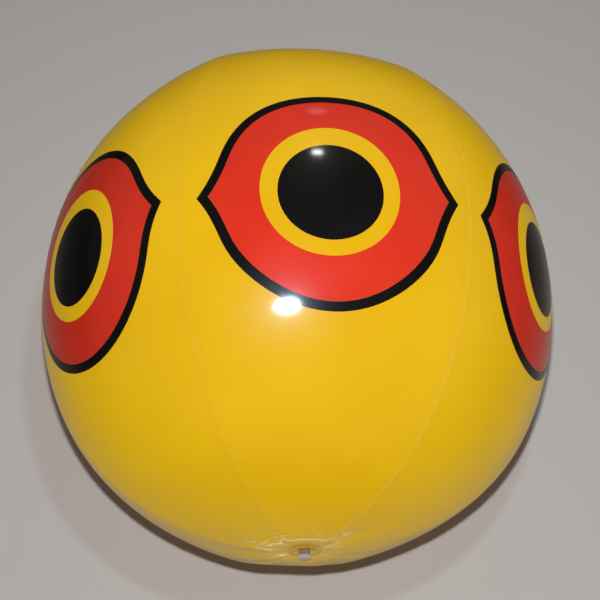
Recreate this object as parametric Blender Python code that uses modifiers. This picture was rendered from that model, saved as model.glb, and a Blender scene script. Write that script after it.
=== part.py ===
"""Bird scare balloon: an inflated ball welded from six vinyl gores.

Each gore is printed with one large eye. A moulded tab at the top hangs the ball from a cord,
and a push-in air valve with a tethered plug closes it at the bottom. The model stands in its
hanging position, with +Z up and the origin at the centre of the hole in the hanging tab.
"""

import math

import bmesh
import bpy
from mathutils import Matrix, Vector

# Driving dimensions, in metres

# Running gap between pieces that touch or are welded together, and how near points are made one
GAP = 0.0003
MERGE_DISTANCE = 0.000003

# Inflated skin: radius at the equator, and how its shape departs from a true sphere
EQUATOR_RADIUS = 0.200
POLE_REACH = 0.0024
SHOULDER_SWELL = 0.0032
SEAM_LIFT = 0.001
SHOULDER_LIFT = 0.0102
DIMPLE_DEPTH = 0.0024
DIMPLE_RADIUS = 0.030
VINYL = 0.0003
WELD_WIDTH = 0.004

# Printed eye: a round field with a small point to each side
EYE_DROP = 0.0166
EYE_MARGIN = 0.0119
EYE_POINT = 0.0106
EYE_RISE = 0.0024
OUTLINE_WIDTH = 0.0066
INK = 0.0002

# Round patches welded over the ends of the gores
PATCH_RADIUS = 0.038
PATCH_LAP = 0.007

# Hanging tab and its welded foot
FOOT_RADIUS = 0.013
FOOT_THICKNESS = 0.001
RIDGE_LENGTH = 0.015
RIDGE_WIDTH = 0.003
RIDGE_HEIGHT = 0.0015
TAB_THICKNESS = 0.0012
TAB_HEIGHT = 0.015
TAB_RIM = 0.004
TAB_BEAD_RADIUS = 0.0009
HANG_HOLE_RADIUS = 0.004

# Air valve: flange, soft skirt, stem, check flap, plug and its strap
FLANGE_RADIUS = 0.0123
FLANGE_THICKNESS = 0.0009
FLANGE_CHAMFER = 0.0003
FLANGE_LAP = 0.0038
SKIRT_DEPTH = 0.0022
SKIRT_THICKNESS = 0.0006
STEM_RADIUS = 0.00425
STEM_WALL = 0.00155
STEM_LENGTH = 0.012
STEM_PROUD = 0.0033
LIP_WIDTH = 0.0004
LIP_LENGTH = 0.0011
FLAP_THICKNESS = 0.0004
FLAP_CHAMFER = 0.0001
FLAP_MARGIN = 0.0006
PLUG_CLEARANCE = 0.0002
PLUG_TAPER = 0.0002
PLUG_LENGTH = 0.007
PLUG_HEAD_LAP = 0.0005
PLUG_HEAD_THICKNESS = 0.0016
PLUG_CHAMFER = 0.0004
STRAP_WIDTH = 0.0024
STRAP_THICKNESS = 0.0006
STRAP_LENGTH = 0.004
STRAP_BOW = 0.0024

# Counts and angles
GORE_COUNT = 6
GORE_COLUMNS = 8
GORE_ROWS = 22
EYE_POINTS = 40
FIELD_RINGS = 2
OUTLINE_RINGS = 1
PUPIL_POINTS = 24
PUPIL_RINGS = 2
PATCH_POINTS = 30
PATCH_RINGS = 3
ROUND_SEGMENTS = 24
SMALL_SEGMENTS = 20
ARC_POINTS = 16
STRAP_POINTS = 8
POINT_SPREAD = math.radians(28)
FIRST_EYE_AZIMUTH = math.radians(-90)
SHARP_ANGLE = math.radians(35)

# Shares, chosen by hand: pupil and bare ring of the eye's half width, the bend of the skirt of its depth
PUPIL_SHARE = 0.444
BARE_RING_SHARE = 0.6
POINT_SHARPNESS_SHARE = 2.6
CROWDING_SHARE = 0.22
SKIRT_BEND_SHARE = 0.7

# Sizes that follow from the driving dimensions
HALF_GORE = math.pi / GORE_COUNT
POLE_RADIUS = EQUATOR_RADIUS + POLE_REACH
GORE_END_LATITUDE = math.acos((PATCH_RADIUS - PATCH_LAP) / POLE_RADIUS)
EYE_LATITUDE = -EYE_DROP / EQUATOR_RADIUS
GORE_HALF_WIDTH = EQUATOR_RADIUS * HALF_GORE * math.cos(EYE_LATITUDE)
EYE_HALF_WIDTH = GORE_HALF_WIDTH - EYE_MARGIN - EYE_POINT
PUPIL_RADIUS = PUPIL_SHARE * EYE_HALF_WIDTH
BARE_RING_RADIUS = BARE_RING_SHARE * EYE_HALF_WIDTH
PATCH_OUTSIDE = GAP + VINYL
FLANGE_HOLE_RADIUS = FLANGE_RADIUS - FLANGE_LAP
PATCH_HOLE_RADIUS = FLANGE_HOLE_RADIUS + GAP
BORE_RADIUS = STEM_RADIUS - STEM_WALL
FLAP_RADIUS = STEM_RADIUS - FLAP_MARGIN
PLUG_RADIUS = BORE_RADIUS - PLUG_CLEARANCE
PLUG_HEAD_RADIUS = STEM_RADIUS + PLUG_HEAD_LAP


def skin_radius(latitude, offset):
    """Distance from the ball's centre to its skin.

    Offset is 0 on a gore's middle line and 1 on its seams. The shoulders swell, the seams stand
    out as soft ridges that fade towards the poles, and each pole has a shallow dimple.
    """
    sine = math.sin(latitude)
    cosine = math.cos(latitude)
    swell = POLE_REACH * sine ** 4 + SHOULDER_SWELL * math.sin(2 * latitude) ** 2
    ridge = (SEAM_LIFT + SHOULDER_LIFT * sine ** 2) * cosine ** 2
    inside = max(0.0, 1 - (EQUATOR_RADIUS * cosine / DIMPLE_RADIUS) ** 2)
    return EQUATOR_RADIUS + swell + ridge * offset ** 2 - DIMPLE_DEPTH * inside ** 2


def cap_reach(radius):
    """How far along its axis from the ball's centre the skin lies, at a radius from the axis."""
    latitude = math.acos(radius / POLE_RADIUS)
    return skin_radius(latitude, 0.0) * math.sin(latitude)


FLANGE_SEAT = cap_reach(FLANGE_RADIUS) + PATCH_OUTSIDE + GAP
STEM_MOUTH = FLANGE_SEAT + STEM_PROUD
STEM_END = STEM_MOUTH - STEM_LENGTH
FLAP_HINGE = STEM_END - GAP - FLAP_THICKNESS / 2
FOOT_SEAT = cap_reach(0.0) + PATCH_OUTSIDE + GAP
RIDGE_TOP = FOOT_SEAT + FOOT_THICKNESS + RIDGE_HEIGHT
TAB_HINGE = RIDGE_TOP + GAP + TAB_BEAD_RADIUS
HANG_DROP = TAB_HINGE + TAB_HEIGHT


def clear_scene():
    for obj in list(bpy.data.objects):
        bpy.data.objects.remove(obj, do_unlink=True)


def new_collection(name):
    collection = bpy.data.collections.new(name)
    bpy.context.scene.collection.children.link(collection)
    return collection


def new_material(name, colour, roughness, transmission=0.0):
    material = bpy.data.materials.new(name)
    material.use_nodes = True
    shader = material.node_tree.nodes["Principled BSDF"]
    shader.inputs["Base Color"].default_value = (*colour, 1.0)
    shader.inputs["Roughness"].default_value = roughness
    shader.inputs["Metallic"].default_value = 0.0
    shader.inputs["Transmission Weight"].default_value = transmission
    return material


def add_object(name, mesh, material, parent, location=(0.0, 0.0, 0.0)):
    """Links a mesh as a named part, shaded smooth with its corners kept."""
    obj = bpy.data.objects.new(name, mesh)
    PARTS.objects.link(obj)
    mesh.materials.append(material)
    mesh.shade_smooth()
    mesh.set_sharp_from_angle(angle=SHARP_ANGLE)
    obj.parent = parent
    obj.location = location
    return obj


def add_empty(name, parent, location):
    empty = bpy.data.objects.new(name, None)
    PARTS.objects.link(empty)
    empty.parent = parent
    empty.location = location
    return empty


def direction(azimuth, latitude):
    """Unit vector from the ball's centre towards an azimuth and a latitude."""
    level = Vector((math.cos(azimuth), math.sin(azimuth), 0.0)) * math.cos(latitude)
    return level + Vector((0.0, 0.0, math.sin(latitude)))


def skin_point(azimuth, latitude, height):
    """Point at a height over the skin. The offset within the gore comes from the azimuth."""
    from_first = (azimuth - FIRST_EYE_AZIMUTH) / (2 * HALF_GORE)
    offset = 2 * (from_first - round(from_first))
    return direction(azimuth, latitude) * (skin_radius(latitude, offset) + height)


def weld_point(middle, side, latitude, depth):
    """Point of the weld flange, which turns inwards beside the seam's plane, half a gap from it."""
    seam = middle + side * HALF_GORE
    inwards = Vector((math.sin(seam), -math.cos(seam), 0.0)) * side
    radius = skin_radius(latitude, 1.0) - depth
    return direction(seam, latitude) * radius + inwards * (GAP / 2)


def solidify(obj, thickness, offset):
    """Gives a sheet its wall: offset -1 grows it inwards and 1 outwards."""
    wall = obj.modifiers.new("wall", "SOLIDIFY")
    wall.thickness = thickness
    wall.offset = offset
    wall.use_even_offset = True
    return wall


def make_gore(number, material, parent):
    """One gore: a grid bent onto the skin, with a weld flange turned inwards along each seam."""
    middle = FIRST_EYE_AZIMUTH + 2 * HALF_GORE * (number - 1)
    # One more column on each side holds the edge of the weld flange
    columns = GORE_COLUMNS + 2
    bm = bmesh.new()
    bmesh.ops.create_grid(bm, x_segments=columns, y_segments=GORE_ROWS, size=1.0)
    for vertex in bm.verts:
        column = round((vertex.co.x + 1) / 2 * columns)
        latitude = vertex.co.y * GORE_END_LATITUDE
        share = (2 * column - columns) / GORE_COLUMNS
        if column in (0, columns):
            vertex.co = weld_point(middle, math.copysign(1, share), latitude, WELD_WIDTH)
        elif column in (1, columns - 1):
            vertex.co = weld_point(middle, math.copysign(1, share), latitude, 0.0)
        else:
            vertex.co = skin_point(middle + share * HALF_GORE, latitude, 0.0)
    mesh = bpy.data.meshes.new(f"gore_{number}")
    bm.to_mesh(mesh)
    bm.free()
    gore = add_object(f"gore_{number}", mesh, material, parent)
    solidify(gore, VINYL, -1)
    return gore


def ring_sheet(inner, outer, rings, points, place, spread):
    """Sheet between two closed outlines around a centre.

    inner and outer give a radius for an angle, and an inner radius of zero closes the middle.
    place puts a point, given by its angle and radius, onto the skin.
    """
    bm = bmesh.new()
    rows = []
    for ring in range(rings + 1):
        share = ring / rings
        row = []
        for step in range(points):
            angle = spread(2 * math.pi * step / points)
            radius = inner(angle) * (1 - share) + outer(angle) * share
            row.append(bm.verts.new(place(angle, radius)))
        rows.append(row)
    for ring in range(rings):
        for step in range(points):
            after = (step + 1) % points
            bm.faces.new((rows[ring][step], rows[ring + 1][step],
                          rows[ring + 1][after], rows[ring][after]))
    bmesh.ops.remove_doubles(bm, verts=bm.verts, dist=MERGE_DISTANCE)
    return bm


def eye_angle(turn):
    """Steps around an eye lie closer together near its two points."""
    return turn - CROWDING_SHARE * math.sin(2 * turn)


def even_angle(turn):
    return turn


def eye_edge(inset):
    """Outline of an eye, drawn in by an inset: nearly round, with a hollow-sided point each side."""
    def radius(angle):
        from_point = abs(math.asin(math.sin(angle)))
        near = max(0.0, 1 - from_point / POINT_SPREAD)
        point = EYE_POINT * near ** POINT_SHARPNESS_SHARE
        return EYE_HALF_WIDTH - inset + EYE_RISE * math.sin(angle) ** 2 + point
    return radius


def constant(radius):
    return lambda angle: radius


def make_print(name, number, inner, outer, rings, points, spread, material, parent):
    """One printed layer of an eye, lying on its gore."""
    middle = FIRST_EYE_AZIMUTH + 2 * HALF_GORE * (number - 1)

    def place(angle, radius):
        latitude = EYE_LATITUDE + radius * math.sin(angle) / EQUATOR_RADIUS
        turn = radius * math.cos(angle) / (EQUATOR_RADIUS * math.cos(latitude))
        return skin_point(middle + turn, latitude, GAP)

    bm = ring_sheet(inner, outer, rings, points, place, spread)
    mesh = bpy.data.meshes.new(name)
    bm.to_mesh(mesh)
    bm.free()
    layer = add_object(name, mesh, material, parent)
    solidify(layer, INK, 1)
    return layer


def make_eye(number, red, black, parent):
    """Pupil, red field and black outline of one eye. Bare vinyl shows between pupil and field."""
    field = eye_edge(OUTLINE_WIDTH + GAP)
    make_print(f"eye_{number}_pupil", number, constant(0.0), constant(PUPIL_RADIUS),
               PUPIL_RINGS, PUPIL_POINTS, even_angle, black, parent)
    make_print(f"eye_{number}_field", number, constant(BARE_RING_RADIUS), field,
               FIELD_RINGS, EYE_POINTS, eye_angle, red, parent)
    make_print(f"eye_{number}_outline", number, eye_edge(OUTLINE_WIDTH), eye_edge(0.0),
               OUTLINE_RINGS, EYE_POINTS, eye_angle, black, parent)


def make_patch(name, side, hole, material, parent):
    """Round patch over the gore ends: side is 1 at the top pole and -1 at the bottom pole."""
    def place(angle, radius):
        latitude = side * math.acos(radius / POLE_RADIUS)
        return skin_point(FIRST_EYE_AZIMUTH + side * angle, latitude, GAP)

    bm = ring_sheet(constant(hole), constant(PATCH_RADIUS), PATCH_RINGS, PATCH_POINTS, place, even_angle)
    mesh = bpy.data.meshes.new(name)
    bm.to_mesh(mesh)
    bm.free()
    patch = add_object(name, mesh, material, parent)
    solidify(patch, VINYL, 1)
    return patch


def make_turned(name, profile, closed, segments, material, parent, location=(0.0, 0.0, 0.0)):
    """Turns a profile of (radius, height) points about Z. It runs down its outer side."""
    mesh = bpy.data.meshes.new(name)
    points = [(radius, 0.0, height) for radius, height in profile]
    edges = [(index, index + 1) for index in range(len(points) - 1)]
    if closed:
        edges.append((len(points) - 1, 0))
    mesh.from_pydata(points, edges, [])
    obj = add_object(name, mesh, material, parent, location)
    screw = obj.modifiers.new("turn", "SCREW")
    screw.axis = "Z"
    screw.steps = segments
    screw.render_steps = segments
    screw.use_merge_vertices = True
    screw.merge_threshold = MERGE_DISTANCE
    screw.use_smooth_shade = True
    return obj


def downwards(points, datum):
    """Profile points given as (radius, reach from the ball's centre), as heights under a datum."""
    return [(radius, datum - reach) for radius, reach in points]


def make_flange(material, parent):
    """Flat ring of the valve, welded around the hole in the bottom patch."""
    outside = FLANGE_SEAT + FLANGE_THICKNESS
    points = [
        (FLANGE_HOLE_RADIUS, FLANGE_SEAT),
        (FLANGE_RADIUS, FLANGE_SEAT),
        (FLANGE_RADIUS, outside - FLANGE_CHAMFER),
        (FLANGE_RADIUS - FLANGE_CHAMFER, outside),
        (FLANGE_HOLE_RADIUS, outside),
    ]
    return make_turned("valve_flange", downwards(points, 0.0), True, ROUND_SEGMENTS, material, parent)


def make_skirt(material, parent):
    """Soft funnel from the flange in to the stem, which turns over as the stem is pulled out."""
    rim = FLANGE_HOLE_RADIUS - GAP
    root = STEM_RADIUS + GAP
    middle = (rim + root) / 2
    bend = FLANGE_SEAT - SKIRT_DEPTH * SKIRT_BEND_SHARE
    deepest = FLANGE_SEAT - SKIRT_DEPTH
    points = [
        (rim, FLANGE_SEAT),
        (rim, FLANGE_SEAT + SKIRT_THICKNESS),
        (middle, bend + SKIRT_THICKNESS),
        (root, deepest + SKIRT_THICKNESS),
        (root, deepest),
        (middle, bend),
    ]
    return make_turned("valve_skirt", downwards(points, 0.0), True, ROUND_SEGMENTS, material, parent)


def make_stem(material, parent):
    """Tube of the valve, with a thin lip at its mouth. Its origin is on the ball's axis."""
    lip = STEM_RADIUS + LIP_WIDTH
    points = [
        (STEM_RADIUS, STEM_END),
        (STEM_RADIUS, STEM_MOUTH - LIP_LENGTH),
        (lip, STEM_MOUTH - LIP_LENGTH + LIP_WIDTH),
        (lip, STEM_MOUTH),
        (BORE_RADIUS, STEM_MOUTH),
        (BORE_RADIUS, STEM_END),
    ]
    profile = downwards(points, FLANGE_SEAT)
    return make_turned("valve_stem", profile, True, SMALL_SEGMENTS, material, parent,
                       (0.0, 0.0, -FLANGE_SEAT))


def make_flap(material, stem):
    """Check flap on the inner end of the stem. Its origin is on its hinge line, at one edge."""
    half = FLAP_THICKNESS / 2
    mesh = bpy.data.meshes.new("valve_flap")
    bm = bmesh.new()
    bmesh.ops.create_cone(bm, cap_ends=True, segments=SMALL_SEGMENTS, radius1=FLAP_RADIUS,
                          radius2=FLAP_RADIUS, depth=FLAP_THICKNESS)
    bmesh.ops.translate(bm, verts=bm.verts, vec=(0.0, -STEM_RADIUS, 0.0))
    bmesh.ops.bevel(bm, geom=[edge for edge in bm.edges if is_level_edge(edge, half)],
                    offset=FLAP_CHAMFER, segments=1, affect="EDGES")
    bm.to_mesh(mesh)
    bm.free()
    return add_object("valve_flap", mesh, material, stem,
                      (0.0, STEM_RADIUS, FLANGE_SEAT - FLAP_HINGE))


def is_level_edge(edge, height):
    """Whether both ends of an edge lie at a height."""
    return all(abs(vertex.co.z - height) < MERGE_DISTANCE for vertex in edge.verts)


def make_plug(material, stem):
    """Stopper with a flat head. Its tapered shank fills the bore of the stem."""
    head = STEM_MOUTH + GAP
    outside = head + PLUG_HEAD_THICKNESS
    tip = head - PLUG_LENGTH
    points = [
        (0.0, tip),
        (PLUG_RADIUS - PLUG_TAPER - PLUG_CHAMFER, tip),
        (PLUG_RADIUS - PLUG_TAPER, tip + PLUG_CHAMFER),
        (PLUG_RADIUS, head),
        (PLUG_HEAD_RADIUS, head),
        (PLUG_HEAD_RADIUS, outside - PLUG_CHAMFER),
        (PLUG_HEAD_RADIUS - PLUG_CHAMFER, outside),
        (0.0, outside),
    ]
    return make_turned("valve_plug", downwards(points, FLANGE_SEAT), False, SMALL_SEGMENTS,
                       material, stem)


def make_strap(material, stem):
    """Short strap that ties the plug's head to the side of the stem, bowed outwards."""
    start = STEM_PROUD + GAP + PLUG_HEAD_THICKNESS / 2
    end = start - STRAP_LENGTH
    start_radius = PLUG_HEAD_RADIUS + GAP
    end_radius = STEM_RADIUS + GAP
    bm = bmesh.new()
    bmesh.ops.create_grid(bm, x_segments=1, y_segments=STRAP_POINTS, size=1.0)
    for vertex in bm.verts:
        share = (vertex.co.y + 1) / 2
        bow = STRAP_BOW * math.sin(math.pi * share)
        radius = start_radius + (end_radius - start_radius) * share + bow
        reach = start + (end - start) * share
        vertex.co = Vector((vertex.co.x * STRAP_WIDTH / 2, radius, -reach))
    bmesh.ops.recalc_face_normals(bm, faces=bm.faces)
    if bm.faces[:][0].normal.y < 0:
        bmesh.ops.reverse_faces(bm, faces=bm.faces)
    mesh = bpy.data.meshes.new("plug_strap")
    bm.to_mesh(mesh)
    bm.free()
    strap = add_object("plug_strap", mesh, material, stem)
    solidify(strap, STRAP_THICKNESS, 1)
    return strap


def make_foot(material, parent):
    """Welded foot of the hanging tab: a thin dished disc with a ridge across its middle."""
    top = FOOT_SEAT + FOOT_THICKNESS
    edge = FOOT_RADIUS - FOOT_THICKNESS / 2
    sag = cap_reach(0.0) - cap_reach(FOOT_RADIUS)
    profile = [
        (0.0, top),
        (edge, top - sag),
        (FOOT_RADIUS, top - sag - FOOT_THICKNESS / 2),
        (FOOT_RADIUS, FOOT_SEAT - sag),
        (0.0, FOOT_SEAT),
    ]
    foot = make_turned("tab_foot", profile, False, ROUND_SEGMENTS, material, parent)
    bpy.ops.mesh.primitive_cube_add(size=1.0)
    ridge = bpy.context.object
    ridge.name = "ridge"
    ridge.data.transform(Matrix.Diagonal((RIDGE_LENGTH, RIDGE_WIDTH, RIDGE_TOP - FOOT_SEAT - GAP, 1.0)))
    move_to(ridge, CUTTERS)
    ridge.parent = parent
    ridge.location = (0.0, 0.0, (RIDGE_TOP + FOOT_SEAT + GAP) / 2)
    join(foot, ridge)
    return foot


def move_to(obj, collection):
    """Moves an object to the collection of guides, which are neither shown nor built."""
    for owner in list(obj.users_collection):
        owner.objects.unlink(obj)
    collection.objects.link(obj)
    obj.hide_render = True
    obj.display_type = "WIRE"


def join(obj, other):
    union = obj.modifiers.new("join", "BOOLEAN")
    union.operation = "UNION"
    union.solver = "EXACT"
    union.object = other
    return union


def tab_outline():
    """Corners of the tab's side view, with a half-round top around the hole."""
    half = HANG_HOLE_RADIUS + TAB_RIM
    arc = [math.pi * step / ARC_POINTS for step in range(ARC_POINTS + 1)]
    top = [(half * math.cos(turn), TAB_HEIGHT + half * math.sin(turn)) for turn in arc]
    return [(-half, 0.0), (half, 0.0), *top]


def circle_points(radius, height, count):
    turns = [2 * math.pi * step / count for step in range(count)]
    return [(radius * math.cos(turn), height + radius * math.sin(turn)) for turn in turns]


def make_tab(material, parent):
    """Hanging tab with a round hole. Its origin is on the line along which it folds."""
    curve = bpy.data.curves.new("tab_blade", "CURVE")
    curve.dimensions = "2D"
    curve.fill_mode = "BOTH"
    curve.extrude = TAB_THICKNESS / 2
    for outline in (tab_outline(), circle_points(HANG_HOLE_RADIUS, TAB_HEIGHT, 2 * ARC_POINTS)):
        spline = curve.splines.new("POLY")
        spline.points.add(len(outline) - 1)
        spline.use_cyclic_u = True
        for point, (x, y) in zip(spline.points, outline):
            point.co = (x, y, 0.0, 1.0)
    blade = bpy.data.objects.new("tab_blade", curve)
    CUTTERS.objects.link(blade)
    mesh = bpy.data.meshes.new_from_object(blade.evaluated_get(bpy.context.evaluated_depsgraph_get()))
    bpy.data.objects.remove(blade)
    bm = bmesh.new()
    bm.from_mesh(mesh)
    bmesh.ops.remove_doubles(bm, verts=bm.verts, dist=MERGE_DISTANCE)
    bmesh.ops.rotate(bm, verts=bm.verts, cent=(0.0, 0.0, 0.0), matrix=Matrix.Rotation(math.pi / 2, 3, "X"))
    bmesh.ops.recalc_face_normals(bm, faces=bm.faces)
    bm.to_mesh(mesh)
    bm.free()
    mesh.name = "hang_tab"
    tab = add_object("hang_tab", mesh, material, parent, (0.0, 0.0, TAB_HINGE))
    bpy.ops.mesh.primitive_cylinder_add(radius=TAB_BEAD_RADIUS, vertices=ARC_POINTS,
                                        depth=2 * (HANG_HOLE_RADIUS + TAB_RIM))
    bead = bpy.context.object
    bead.name = "bead"
    bead.data.transform(Matrix.Rotation(math.pi / 2, 4, "Y"))
    move_to(bead, CUTTERS)
    bead.parent = tab
    join(tab, bead)
    return tab


clear_scene()
PARTS = new_collection("bird_scare_balloon")
CUTTERS = new_collection("guides")

yellow_vinyl = new_material("yellow_vinyl", (0.80, 0.50, 0.015), 0.18)
red_ink = new_material("red_ink", (0.68, 0.035, 0.018), 0.2)
black_ink = new_material("black_ink", (0.008, 0.007, 0.006), 0.2)
clear_vinyl = new_material("clear_vinyl", (0.72, 0.75, 0.76), 0.25, 0.6)

centre = add_empty("balloon_centre", None, (0.0, 0.0, -HANG_DROP))
for gore_number in range(1, GORE_COUNT + 1):
    make_gore(gore_number, yellow_vinyl, centre)
    make_eye(gore_number, red_ink, black_ink, centre)
make_patch("top_patch", 1, 0.0, yellow_vinyl, centre)
make_patch("bottom_patch", -1, PATCH_HOLE_RADIUS, yellow_vinyl, centre)
make_foot(clear_vinyl, centre)
make_tab(clear_vinyl, centre)
make_flange(clear_vinyl, centre)
make_skirt(clear_vinyl, centre)
valve_stem = make_stem(clear_vinyl, centre)
make_flap(clear_vinyl, valve_stem)
make_plug(clear_vinyl, valve_stem)
make_strap(clear_vinyl, valve_stem)
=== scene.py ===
# %% [markdown]
# # Bird scare balloon
# A vinyl ball, welded from six gores, that hangs in an orchard or over a garden bed. Each gore is
# printed with one large eye, and birds keep away from the eyes as the ball turns in the wind.
# The construction already exists as imported solids: this lesson gives them their looks. We load
# that frame first, because every new piece is placed by it, and most move with one of its bodies.

import bmesh
import bpy
import numpy as np
from mathutils import Matrix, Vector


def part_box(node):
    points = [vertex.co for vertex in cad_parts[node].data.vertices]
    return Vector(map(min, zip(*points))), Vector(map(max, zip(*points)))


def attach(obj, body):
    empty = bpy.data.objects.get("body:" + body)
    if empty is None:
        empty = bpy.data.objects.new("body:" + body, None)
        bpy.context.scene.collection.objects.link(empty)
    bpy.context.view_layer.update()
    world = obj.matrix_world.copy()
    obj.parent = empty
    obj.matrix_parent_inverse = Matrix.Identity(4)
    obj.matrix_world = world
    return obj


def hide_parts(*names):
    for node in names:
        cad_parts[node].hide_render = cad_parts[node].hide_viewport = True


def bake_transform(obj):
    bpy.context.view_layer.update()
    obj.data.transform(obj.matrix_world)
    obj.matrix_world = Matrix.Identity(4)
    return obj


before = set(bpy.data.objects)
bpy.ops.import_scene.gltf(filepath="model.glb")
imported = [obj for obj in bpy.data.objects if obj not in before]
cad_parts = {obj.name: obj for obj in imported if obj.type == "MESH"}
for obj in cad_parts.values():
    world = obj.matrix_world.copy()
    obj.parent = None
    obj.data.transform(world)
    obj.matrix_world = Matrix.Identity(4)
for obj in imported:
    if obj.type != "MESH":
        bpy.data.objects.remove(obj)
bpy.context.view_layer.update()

# %% [markdown]
# ## Sizes
# The ball is described from its own centre with an azimuth and a latitude, as a globe is. The
# centre lies halfway up any gore. The other values are the sizes of the real balloon in metres,
# the same as in the construction, so that the fine surfaces lie where the plain solids are.

# %% Sizes of the balloon
gore_low, gore_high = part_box("gore_1")
CENTRE = np.array([0.0, 0.0, (gore_low.z + gore_high.z) / 2])

GORE_COUNT = 6
HALF_GORE = np.pi / GORE_COUNT
FIRST_EYE_AZIMUTH = -np.pi / 2

EQUATOR_RADIUS = 0.200
POLE_REACH = 0.0024
SHOULDER_SWELL = 0.0032
SEAM_LIFT = 0.001
SHOULDER_LIFT = 0.0102
DIMPLE_DEPTH = 0.0024
DIMPLE_RADIUS = 0.030
FILM = 0.0003
PATCH_RADIUS = 0.038
PATCH_LAP = 0.007
WELD_WIDTH = 0.004

POLE_RADIUS = EQUATOR_RADIUS + POLE_REACH
GORE_END_LATITUDE = np.arccos((PATCH_RADIUS - PATCH_LAP) / POLE_RADIUS)
print("centre of the ball in mm:", (1000 * CENTRE).round(2))

# %% [markdown]
# ## The shape of the inflated skin
# A ball of flat gores never becomes a true sphere. Air pressure rounds each gore across, the
# shoulders swell, the stiff seams stand out a little, and both poles stay slightly dished. One
# could sculpt this by hand, but a formula for the radius keeps gores, prints and patches exactly
# on the same surface, because all of them ask the same function.

# %% Skin functions
def gore_offset(azimuth):
    """Place across a gore, from 0 on its middle line to 1 or -1 on its seams."""
    turns = (azimuth - FIRST_EYE_AZIMUTH) / (2 * HALF_GORE)
    return 2 * (turns - np.round(turns))


def skin_radius(latitude, offset):
    """Radius of the smooth skin.

    In words: the equator's radius, plus a swell that grows towards the poles and over the
    shoulders, plus a ridge that rises with the square of the offset, minus a dimple at each pole.
    """
    sine, cosine = np.sin(latitude), np.cos(latitude)
    swell = POLE_REACH * sine ** 4 + SHOULDER_SWELL * np.sin(2 * latitude) ** 2
    ridge = (SEAM_LIFT + SHOULDER_LIFT * sine ** 2) * cosine ** 2
    inside = np.clip(1 - (EQUATOR_RADIUS * cosine / DIMPLE_RADIUS) ** 2, 0, None)
    return EQUATOR_RADIUS + swell + ridge * offset ** 2 - DIMPLE_DEPTH * inside ** 2


def smooth_step(value, low, high):
    """0 below low and 1 above high, with a soft rise between them."""
    share = np.clip((value - low) / (high - low), 0, 1)
    return share ** 2 * (3 - 2 * share)


BROAD_HEIGHT = 0.00012
POLE_FOLD_HEIGHT = 0.00026
POLE_FOLD_PLACE = 0.046
POLE_FOLD_SPREAD = 0.026
KNOT_HEIGHT = 0.00045
KNOT_SIZE = 0.0030
KNOT_PLACE = 0.0385
FOLD_LOBES = ((5, 0.9, 0.4), (7, 1.0, 2.1), (11, 0.8, 4.0), (18, 0.45, 1.2))


def film_unevenness(azimuth, latitude):
    """Height of the broad waves of the film and of the folds that run into the poles.

    In words: two slow products of sines over the whole ball, plus a sum of cosines of the
    azimuth, which fades away from a ring round each pole, plus a small knot where each seam
    meets the rim of a patch.
    """
    side = np.where(latitude > 0, 1.7, 0.0)
    broad = np.sin(5 * azimuth + 2 * np.sin(3 * latitude)) * np.sin(7 * latitude + 0.8)
    slow = np.sin(11 * azimuth - 6 * latitude + 1.9) * np.cos(4 * azimuth + 9 * latitude)
    broad = broad + 0.6 * slow
    from_axis = EQUATOR_RADIUS * np.cos(latitude)
    ring = np.exp(-((from_axis - POLE_FOLD_PLACE) / POLE_FOLD_SPREAD) ** 2)
    ring = ring * smooth_step(from_axis, 0.006, 0.022)
    folds = sum(height * np.cos(lobes * azimuth + phase + side * lobes)
                for lobes, height, phase in FOLD_LOBES)
    aside = (1 - np.abs(gore_offset(azimuth))) * HALF_GORE * from_axis
    knot = np.exp(-(aside ** 2 + (from_axis - KNOT_PLACE) ** 2) / KNOT_SIZE ** 2)
    return (BROAD_HEIGHT * broad * np.cos(latitude) ** 0.5 + POLE_FOLD_HEIGHT * ring * folds
            + KNOT_HEIGHT * knot)


def directions(azimuth, latitude):
    """Unit vectors from the ball's centre, in the last axis of the array."""
    return np.stack([np.cos(azimuth) * np.cos(latitude), np.sin(azimuth) * np.cos(latitude),
                     np.sin(latitude)], axis=-1)


def on_skin(azimuth, latitude, height=0.0):
    """Points at a height over the uneven skin."""
    radius = skin_radius(latitude, gore_offset(azimuth)) + film_unevenness(azimuth, latitude)
    return CENTRE + directions(azimuth, latitude) * (radius + height)[..., None]


print("skin radius at the equator, shoulder and pole in mm:",
      (1000 * skin_radius(np.radians([0.0, 45.0, 90.0]), 0.0)).round(2))

# %% [markdown]
# ## From an array to a piece
# Every new piece is a grid of points. This helper turns the grid into a mesh with quads between
# neighbouring points. A closed form wraps round, and points that fall together at a pole are
# merged. A second helper makes the object, and most objects are then carried by a body.

# %% Mesh helpers
MERGE_DISTANCE = 2e-6
CORNER_ANGLE = np.radians(40)


def once_round(count):
    """Even angles of a full turn, without the last, which is the first again."""
    return np.arange(count) * 2 * np.pi / count


def bend(value, power):
    """Sine or cosine raised to a power with its sign kept: it rounds or squares a circle."""
    return np.sign(value) * np.abs(value) ** power


def around_axis(radius, angle, height):
    """Points at a radius, an angle and a height about an upright axis."""
    points = np.broadcast_arrays(radius * np.cos(angle), radius * np.sin(angle), height)
    return np.stack(points, axis=-1)


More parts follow.
